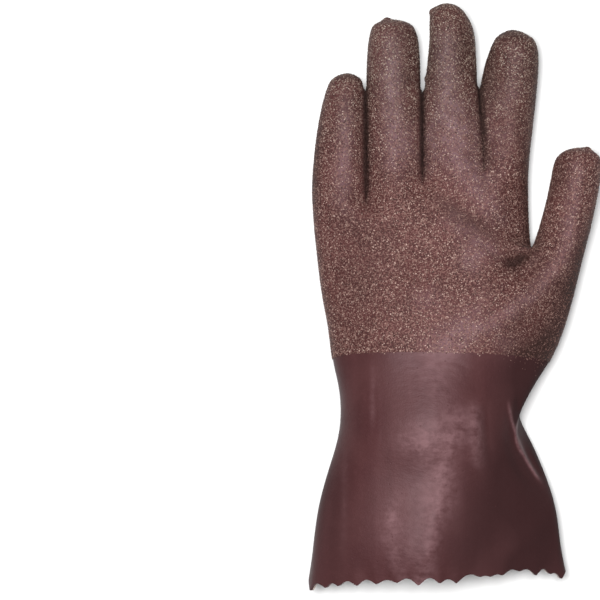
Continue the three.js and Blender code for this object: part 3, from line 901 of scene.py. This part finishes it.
# %% Nubs: where, how wide and how high
NUBS = table(
    "name x y z radius rise",
    ("ring finger's tip", -35, 142, 19.6, 2.2, 1.5),
    ("middle finger's shoulder", -11.8, 145.8, 21.2, 2, 1.3),
    ("middle finger's side", -14.6, 112.5, 17.5, 1.5, 0.9),
    ("thumb's tip", 67.5, 76, 24.2, 2.2, 1.3),
)


def raise_nubs(skin):
    direction = skin.normals()
    for nub in NUBS:
        away = np.linalg.norm(skin.points - (nub.x, nub.y, nub.z), axis=1)
        away = np.linalg.norm(skin.points - skin.points[away.argmin()], axis=1)
        skin.points += direction * (nub.rise * np.exp(-((away / nub.radius) ** 2)))[:, None]


raise_nubs(skin)
print("nubs raised:", len(NUBS))

# %% The hand: a fine coat, a coarse inside, and a bridge between their rims
coat_faces = skin.faces[skin.zones == HAND]
coat_rim = np.unique(rim_edges(coat_faces))
palm_faces = inner_skin.faces[inner_skin.zones == HAND]
coat_points = layer(skin, HAND, -COAT_RISE, CRUMB_FOOT)
inside_points = layer(inner_skin, HAND, HAND_WALL)


# The coarse wall is moved back under the coat, first its points and then its whole faces, a few
# times over. Coat that faces the other way is another finger's, across a slit, and doesn't count.
MOVE_ROUNDS = 3


def kept_under(points, faces, outwards, shell_points, shell_faces, least):
    shell = BVHTree.FromPolygons(shell_points.tolist(), shell_faces.tolist())
    moved = 0
    for corners in (np.arange(len(points))[:, None], faces) * MOVE_ROUNDS:
        places, outs = points[corners].mean(axis=1), outwards[corners].sum(axis=1)
        for own, place, out in zip(corners, places, outs):
            nearest, normal, _, _ = shell.find_nearest(place)
            short = least - (nearest - Vector(place)).dot(normal)
            if short > 0 and normal.dot(out) > 0:
                points[own] -= np.array(normal) * short
                moved += 1
    return moved


def bridge():
    inner = rim_loop(palm_faces, int(rim_edges(palm_faces)[0, 0]))
    away = np.linalg.norm(coat_points[coat_rim] - inside_points[inner[0]], axis=1)
    outer = rim_loop(coat_faces, int(coat_rim[away.argmin()]))
    inner = inner + len(coat_points)
    first, middle, last = outer[0::2], outer[1::2], np.roll(outer, -2)[0::2]
    following = np.roll(inner, -1)
    corners = [(middle, first, inner), (middle, inner, following), (last, middle, following)]
    return np.concatenate([np.stack(three, 1) for three in corners])


outwards = inner_skin.normals()
moved_back = kept_under(inside_points, palm_faces, outwards, coat_points, coat_faces, LEAST_WALL)
print("inner points and faces moved back under the coat:", moved_back)
unmarked = np.zeros(len(inside_points))
hand = piece(
    "crumbed_hand",
    np.concatenate([coat_points, inside_points]),
    [coat_faces, bridge(), palm_faces[:, ::-1] + len(coat_points)],
    "crumb_coated_rubber",
    [0, 0, 1],
    **{name: np.concatenate([value, unmarked]) for name, value in marks.items()},
)
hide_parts("rough_hand")

# %% [markdown]
# ## Rubber crumb
# The coat is rolled in ground rubber, tan and pink with some dark grains, 0.5 to 1 mm across. A
# bump could suggest it, but the outline would stay smooth. A geometry-nodes scatter gives real
# grains, and so do a few lines of numpy, which keep the count in hand: each grain is a low pyramid
# with four uneven sides, sunk a little into the coat.

# %% How many grains, how large, and where they thin out
GRAINS_PER_MM2 = 1.6
GRAIN_RADIUS = (0.22, 0.55)
GRAIN_UNEVEN = (0.7, 1.2)  # each side's own share of the radius
GRAIN_HEIGHT = (0.12, 0.28)
GRAIN_LEAN = 0.12
GRAIN_SINKS = 0.05
GRAIN_SIDES = 4
ASKEW = (0.3, 0.5, 0.81)  # along no side of the glove
BARE_BACK = SimpleNamespace(along=95, facing=-0.3, share=0.45)  # the fingertips' worn backs
# Grains thin out under bloom with painted highlight.
BLOOM_AND_HIGHLIGHT_HIDES = 0.15
SEED = 11
dice = np.random.default_rng(SEED)


def scatter(points, faces):
    a, b, c, d, square = corners_and_squares(points, faces)
    area = np.linalg.norm(square, axis=1)
    count = int(GRAINS_PER_MM2 * area.sum())
    picked = dice.choice(len(faces), count, p=area / area.sum())
    u, v = dice.random((2, count, 1))
    near = a[picked] * (1 - u) + b[picked] * u
    far = d[picked] * (1 - u) + c[picked] * u
    return near * (1 - v) + far * v, square[picked] / area[picked, None]


def grain_shapes(places, up):
    count = len(places)
    side = np.cross(up, ASKEW)
    side /= np.linalg.norm(side, axis=1, keepdims=True)
    other = np.cross(up, side)
    radius = dice.uniform(*GRAIN_RADIUS, (count, 1))
    radius = radius * dice.uniform(*GRAIN_UNEVEN, (count, GRAIN_SIDES))
    turn = dice.random((count, 1)) * math.tau + np.arange(GRAIN_SIDES) * math.tau / GRAIN_SIDES
    foot = places - up * GRAIN_SINKS
    ring = foot[:, None] + side[:, None] * (radius * np.cos(turn))[:, :, None]
    ring = ring + other[:, None] * (radius * np.sin(turn))[:, :, None]
    lean = dice.uniform(-GRAIN_LEAN, GRAIN_LEAN, (count, 2))
    top = places + up * dice.uniform(*GRAIN_HEIGHT, (count, 1))
    top = top + side * lean[:, :1] + other * lean[:, 1:]
    return np.concatenate([ring, top[:, None]], 1)


def coat_grains():
    places, up = scatter(coat_points, coat_faces)
    finger_back = (places[:, 1] > BARE_BACK.along) & (up[:, 2] < BARE_BACK.facing)
    missing = BARE_BACK.share * finger_back + BLOOM_AND_HIGHLIGHT_HIDES * bloom_and_highlight_at(places) * (up[:, 2] > 0)
    kept = dice.random(len(places)) > missing
    return places[kept], up[kept]


# %% Stray grains below the coat line, mostly at the thumb's side
STRAY_REACH = 6
STRAY_SHARE = 0.7
STRAY_FADES = table("x fade", (-70, 0.3), (20, 0.4), (32, 2.2), (60, 2.6))


def below_coat(places, up):
    rim = coat_points[coat_rim]
    rim = rim[rim[:, 0].argsort()]
    over = rim[:, 2] > (rim[:, 2].min() + rim[:, 2].max()) / 2
    lines = [np.interp(places[:, 0], half[:, 0], half[:, 1]) for half in (rim[over], rim[~over])]
    return np.where(up[:, 2] > 0, *lines) - places[:, 1]


def stray_grains():
    cuff_points = layer(skin, CUFF, 0)
    faces = skin.faces[skin.zones == CUFF]
    line = cuff_points[coat_rim, 1].min()
    near = cuff_points[faces, 1].mean(axis=1) > line - STRAY_REACH
    places, up = scatter(cuff_points, faces[near])
    fades = [row.x for row in STRAY_FADES], [row.fade for row in STRAY_FADES]
    share = np.exp(-np.maximum(below_coat(places, up), 0) / np.interp(places[:, 0], *fades))
    kept = dice.random(len(places)) < STRAY_SHARE * share
    return places[kept], up[kept]


# %% All grains, with tones darkened by grime and painted shade, and bloom with painted highlight
GRIME_AND_SHADE_DARKENS, DEEP_SHADE_DARKENS = 0.5, 0.35
places, up = (np.concatenate(both) for both in zip(coat_grains(), stray_grains()))
shapes = grain_shapes(places, up)
shapes[:, :, 2] = np.maximum(shapes[:, :, 2], 0)
faces_up = up[:, 2] > 0
# Grains darken under grime and painted shade, most in the painted shade of the slits and the pit.
deep_shade = np.clip(marked(places, DEEP_SHADE_LINES, line_strength), 0, 1)
darker = (GRIME_AND_SHADE_DARKENS * grime_and_shade_at(places) + DEEP_SHADE_DARKENS * deep_shade) * faces_up
tones = dice.random(len(places)) * (1 - darker)
# Grains that face up take bloom with painted highlight.
grain_bloom_and_highlight = bloom_and_highlight_at(places) * faces_up
print("grains:", len(places))

# %% The grains of one part of the hand become one piece
PYRAMID = [(i, (i + 1) % GRAIN_SIDES, GRAIN_SIDES) for i in range(GRAIN_SIDES)]
BASE = [(0, i + 1, i) for i in range(1, GRAIN_SIDES - 1)]
UNFOLDED = 0.004
MARGIN = 0.01


# A grain lies at its own tone and its bloom with painted highlight in the unfolded picture, so that
# a small picture still holds its colour.
def unfold(made, tone, bloom, count):
    turn = np.tile(np.arange(GRAIN_SIDES + 1) * math.tau / GRAIN_SIDES, count)
    reach = np.tile([UNFOLDED] * GRAIN_SIDES + [0], count)
    across = MARGIN + (1 - 2 * MARGIN) * tone + reach * np.cos(turn)
    down = MARGIN + (1 - 2 * MARGIN) * bloom + reach * np.sin(turn)
    corners = values_of(made.data.loops, "vertex_index")
    unfolded = np.stack([across, down], 1)[corners].astype(np.float32)
    made.data.uv_layers.new(name="OFBake").data.foreach_set("uv", unfolded.ravel())


def grain_piece(name, chosen):
    count = int(chosen.sum())
    first = np.arange(count)[:, None, None] * (GRAIN_SIDES + 1)
    faces = (first + np.array(PYRAMID + BASE)).reshape(-1, 3)
    tone, bloom = (np.repeat(value[chosen], GRAIN_SIDES + 1) for value in (tones, grain_bloom_and_highlight))
    corners = shapes[chosen].reshape(-1, 3)
    made = piece(name, corners, [faces], "crumb_coated_rubber", tone=tone, bloom=bloom)
    unfold(made, tone, bloom, count)
    return made


# The thumb lies beyond a line that leans a little, and above its root.
THUMB_LINE = SimpleNamespace(x=45, y=40, lean=0.12, root=14)
FINGERS_FROM = 62
beyond = places[:, 0] > THUMB_LINE.x + THUMB_LINE.lean * (THUMB_LINE.y - places[:, 1])
on_thumb = beyond & (places[:, 1] > THUMB_LINE.root)
on_finger = ~on_thumb & (places[:, 1] > FINGERS_FROM)
grains = [
    grain_piece("crumb_on_thumb", on_thumb),
    grain_piece("crumb_on_finger_fronts", on_finger & faces_up),
    grain_piece("crumb_on_finger_backs", on_finger & ~faces_up),
    grain_piece("crumb_on_palm", ~on_thumb & ~on_finger & faces_up),
    grain_piece("crumb_on_back", ~on_thumb & ~on_finger & ~faces_up),
]

# %% [markdown]
# ## Finishes as sums
# Each finish is a sum of simple patterns: a slow change of tone, a fine grain, spots here and
# there. Nodes could be wired one by one, but a formula is easier to read. The first class below
# wraps an output socket, so that Python's own arithmetic adds the Math nodes. Every other node
# comes from one method of the second.


# %% An output socket that can be added, subtracted and multiplied
def maths(operation, reflected=False):
    def method(wire, other):
        first, second = (other, wire) if reflected else (wire, other)
        return wire.finish.node("Math", {"operation": operation}, {0: first, 1: second})

    return method


class Wire:
    def __init__(self, finish, socket):
        self.finish = finish
        self.socket = socket

    __add__, __radd__ = maths("ADD"), maths("ADD", reflected=True)
    __sub__, __rsub__ = maths("SUBTRACT"), maths("SUBTRACT", reflected=True)
    __mul__, __rmul__ = maths("MULTIPLY"), maths("MULTIPLY", reflected=True)


# %% A material under construction
class Finish:
    def __init__(self, name):
        self.material = bpy.data.materials.new(name)
        self.material.use_nodes = True
        self.tree = self.material.node_tree
        self.shader = self.tree.nodes["Principled BSDF"]

    def feed(self, socket, value):
        if isinstance(value, Wire):
            self.tree.links.new(value.socket, socket)
        else:
            socket.default_value = value

    def node(self, kind, settings=None, sockets=None, output=0):
        made = self.tree.nodes.new("ShaderNode" + kind)
        for name, value in (settings or {}).items():
            if name == "stops":
                self.set_stops(made.color_ramp.elements, value)
            else:
                setattr(made, name, value)
        for name, value in (sockets or {}).items():
            self.feed(made.inputs[name], value)
        return Wire(self, made.outputs[output])

    def set_stops(self, elements, stops):
        while len(elements) < len(stops):
            elements.new(1)
        for element, (place, colour) in zip(elements, stops):
            element.position = place
            element.color = colour

    def value(self, name):
        return self.node("Attribute", {"attribute_name": name}, output=2)

    def places(self, stretch=(1, 1, 1)):
        here = self.node("TexCoord", output="Object")
        scale = [1 / MM * share for share in stretch]
        return self.node("VectorMath", {"operation": "MULTIPLY"}, {0: here, 1: scale})

    def pattern(self, kind, size, stretch, **sockets):
        return self.node(kind, None, {"Vector": self.places(stretch), "Scale": 1 / size, **sockets})

    def noise(self, size, stretch=(1, 1, 1), detail=3, roughness=0.55):
        return self.pattern("TexNoise", size, stretch, Detail=detail, Roughness=roughness)

    def cells(self, size):
        return self.pattern("TexVoronoi", size, (1, 1, 1))

    def rise(self, value, low, high):
        sockets = {"Value": value, "From Min": low, "From Max": high}
        return self.node("MapRange", {"interpolation_type": "SMOOTHSTEP"}, sockets)

    def mix(self, share, first, second):
        return self.node("Mix", {"data_type": "RGBA"}, {0: share, 6: first, 7: second}, 2)

    def layers(self, colour, *grain_bloom_and_highlight):
        for share, film in grain_bloom_and_highlight:
            colour = self.mix(share, colour, film)
        return colour

    def greyed_fingers(self, colour):
        along = self.node("SeparateXYZ", None, {0: self.places()}, 1)
        greyer = self.node("VectorMath", {"operation": "MULTIPLY"}, {0: colour, 1: FINGER_GREY})
        return self.mix(self.rise(along, *GREYER_ALONG), colour, greyer)

    def done(self, height=None, **sockets):
        if height is not None:
            sockets["Normal"] = self.node("Bump", None, {"Distance": MM, "Height": height})
        for name, value in sockets.items():
            self.feed(self.shader.inputs[name.replace("_", " ")], value)
        return self.material


# %% [markdown]
# ## Rubber and cotton
# The coat is dark maroon between its grains, and the grains run from dark brown to pale tan. The
# cuff is the same rubber with a satin skin: a slow change of tone down its length, tiny pores and
# faint smears where it wrinkled as it set. The cotton shows only at the mouth, as a pale fine knit.

# %% Colours, in linear light
COAT = (0.056, 0.0185, 0.0175, 1)
COAT_DARK = (0.037, 0.0125, 0.0115, 1)
COAT_DUSTY = (0.140, 0.072, 0.062, 1)
# Pale bloom with painted highlight on the coat
COAT_BLOOM_AND_HIGHLIGHT = (0.124, 0.070, 0.078, 1)
CUFF_BASE = (0.045, 0.0160, 0.0164, 1)
CUFF_DARK = (0.035, 0.0112, 0.0118, 1)
CUFF_DUSTY = (0.074, 0.028, 0.030, 1)
# Pale bloom with painted highlight on the cuff
CUFF_BLOOM_AND_HIGHLIGHT = (0.110, 0.056, 0.060, 1)
# Grime with painted shade, on the coat and on the cuff
GRIME_AND_SHADE_TONE = (0.016, 0.0085, 0.0070, 1)
CUFF_GRIME_AND_SHADE_TONE = (0.017, 0.0058, 0.0060, 1)
SHINE = (1.0, 0.74, 0.78, 1)  # the rubber's bloom warms its highlights
COTTON = (0.40, 0.33, 0.29, 1)
COTTON_SHADE = (0.24, 0.18, 0.155, 1)
GRAIN_TONES = [
    (0.00, (0.022, 0.011, 0.010, 1)),
    (0.25, (0.056, 0.026, 0.023, 1)),
    (0.50, (0.128, 0.070, 0.059, 1)),
    (0.78, (0.215, 0.140, 0.118, 1)),
    (1.00, (0.340, 0.240, 0.208, 1)),
]
FINGER_GREY = (0.86, 1.0, 0.97)  # the fingertips are the greyest
GREYER_ALONG = (50, 130)
GRIME_AND_SHADE_COVERS = 0.85


# %% The coat between the grains
def coat_finish():
    finish = Finish("crumb_coat")
    slow = finish.rise(finish.noise(22), 0.35, 0.65)
    dust = finish.rise(finish.noise(0.9, detail=2), 0.48, 0.62)
    uneven = finish.rise(finish.noise(5, detail=4), 0.36, 0.62)
    # Over the slow tone lie bloom with painted highlight, dust, and grime with painted shade.
    colour = finish.layers(
        COAT_DARK,
        (slow, COAT),
        (finish.value("bloom") * (0.4 + 0.45 * uneven), COAT_BLOOM_AND_HIGHLIGHT),
        (dust * 0.8, COAT_DUSTY),
        (finish.value("grime") * GRIME_AND_SHADE_COVERS, GRIME_AND_SHADE_TONE),
    )
    fixed = {"Roughness": 0.55, "Specular_IOR_Level": 0.1, "Specular_Tint": SHINE}
    height = finish.noise(0.9) * 0.4
    return finish.done(height, Base_Color=finish.greyed_fingers(colour), **fixed)


# %% The grains, toned one by one
def grain_finish():
    finish = Finish("rubber_crumb")
    colour = finish.node("ValToRGB", {"stops": GRAIN_TONES}, {0: finish.value("tone")})
    # A grain takes a little bloom with painted highlight.
    colour = finish.greyed_fingers(finish.mix(finish.value("bloom") * 0.15, colour, COAT_BLOOM_AND_HIGHLIGHT))
    return finish.done(Base_Color=colour, Roughness=0.6, Specular_IOR_Level=0.1)


# %% The smooth rubber of the cuff
def cuff_finish():
    finish = Finish("smooth_rubber")
    slow = finish.rise(finish.noise(24), 0.3, 0.7)
    lengthways = finish.rise(finish.noise(7, stretch=(1, 0.06, 1)), 0.35, 0.8)
    dust = finish.rise(finish.noise(1.6, detail=5), 0.5, 0.72)
    pores = finish.rise(finish.cells(5.5), 0.1, 0.05)
    wrinkles = finish.noise(2.2, stretch=(0.5, 1, 1), detail=4)
    blotches = finish.rise(finish.noise(5, detail=6, roughness=0.65), 0.4, 0.62)
    smears = finish.rise(wrinkles, 0.3, 0.66)
    # Bloom with painted highlight, mottled by smears and blotches, and grime with painted shade.
    bloom = finish.value("bloom") * (0.25 + 0.4 * smears + 0.45 * blotches)
    grime = finish.value("grime")
    colour = finish.layers(
        CUFF_DARK,
        (slow, CUFF_BASE),
        (lengthways * 0.2, CUFF_DUSTY),
        (dust * 0.15, CUFF_DUSTY),
        (bloom, CUFF_BLOOM_AND_HIGHLIGHT),
        (grime * GRIME_AND_SHADE_COVERS, CUFF_GRIME_AND_SHADE_TONE),
        (pores * 0.5, CUFF_DARK),
    )
    roughness = 0.42 + 0.14 * finish.noise(3.5, detail=4) + 0.1 * bloom + 0.4 * grime
    height = 0.06 * finish.noise(0.8, detail=2) + 0.13 * wrinkles - 0.05 * pores
    fixed = {"Specular_IOR_Level": 0.17, "Specular_Tint": SHINE}
    return finish.done(height, Base_Color=colour, Roughness=roughness, **fixed)


# %% The knitted cotton
def cotton_finish():
    finish = Finish("knitted_cotton")
    loops = finish.cells(0.9)
    columns = finish.noise(1.1, stretch=(1, 0.15, 1), detail=1)
    threads = 0.6 * loops + 0.6 * finish.rise(columns, 0.35, 0.65)
    colour = finish.mix(finish.rise(threads, 0.2, 0.9), COTTON, COTTON_SHADE)
    return finish.done(0 - 0.5 * threads, Base_Color=colour, Roughness=0.9, Sheen_Weight=0.2)


# %% Dress the pieces
coat, crumb, rubber, cotton = coat_finish(), grain_finish(), cuff_finish(), cotton_finish()
for made, finishes in [(hand, (coat, cotton)), (cuff, (rubber,)), (lining, (cotton,))]:
    for finish in finishes:
        made.data.materials.append(finish)
for made in grains:
    made.data.materials.append(crumb)
print("finishes:", [finish.name for finish in (coat, crumb, rubber, cotton)])

# %% [markdown]
# ## Floor, light and camera
# The glove was photographed from straight above on white, in soft light from slightly to the upper
# left. A large pale floor, one wide area lamp and a dim white world give that. The camera hangs
# over the picture's middle, beside the glove, and looks straight down with a long lens.

# %% The floor
FLOOR_SIDE = 6.0
FLOOR_PLACE = (0, 0, -0.0003)
FLOOR_TONES = (0.62, 0.62, 0.62, 1), (0.64, 0.64, 0.64, 1)

pale = Finish("pale_floor")
patches = pale.rise(pale.noise(180), 0.3, 0.7)
bpy.ops.mesh.primitive_plane_add(size=FLOOR_SIDE, location=FLOOR_PLACE)
floor = bpy.context.object
floor.name = "pale_floor"
colour = pale.mix(patches, *FLOOR_TONES)
floor.data.materials.append(pale.done(Base_Color=colour, Roughness=0.9))
print("floor:", floor.name)

# %% The light
LAMP_SIDE = 0.5
LAMP_PLACE = (-0.17, 0.09, 1.5)
LAMP_POWER = 51
WORLD_LIGHT = 0.05

lamp = placed("wide_lamp", bpy.data.lights.new("wide_lamp", "AREA"))
lamp.data.size = LAMP_SIDE
lamp.data.energy = LAMP_POWER
lamp.location = LAMP_PLACE
lamp.rotation_euler = (-lamp.location).to_track_quat("-Z", "Y").to_euler()
world = bpy.data.worlds.new("soft_studio")
world.use_nodes = True
background = world.node_tree.nodes["Background"].inputs
background["Color"].default_value = (1, 1, 1, 1)
background["Strength"].default_value = WORLD_LIGHT
bpy.context.scene.world = world
bpy.context.scene.view_settings.view_transform = "Standard"
print("lamp:", LAMP_POWER, "W; world:", WORLD_LIGHT)

# %% The camera
LENS = 180
CAMERA_PLACE = (-79.29, -1.7, 1556)  # in the tables' frame

camera = placed("camera", bpy.data.cameras.new("camera"))
camera.data.lens = LENS
camera.location = [MM * (side + shift) for side, shift in zip(CAMERA_PLACE, CENTRED)]
bpy.context.scene.camera = camera
print("camera:", LENS, "mm lens")
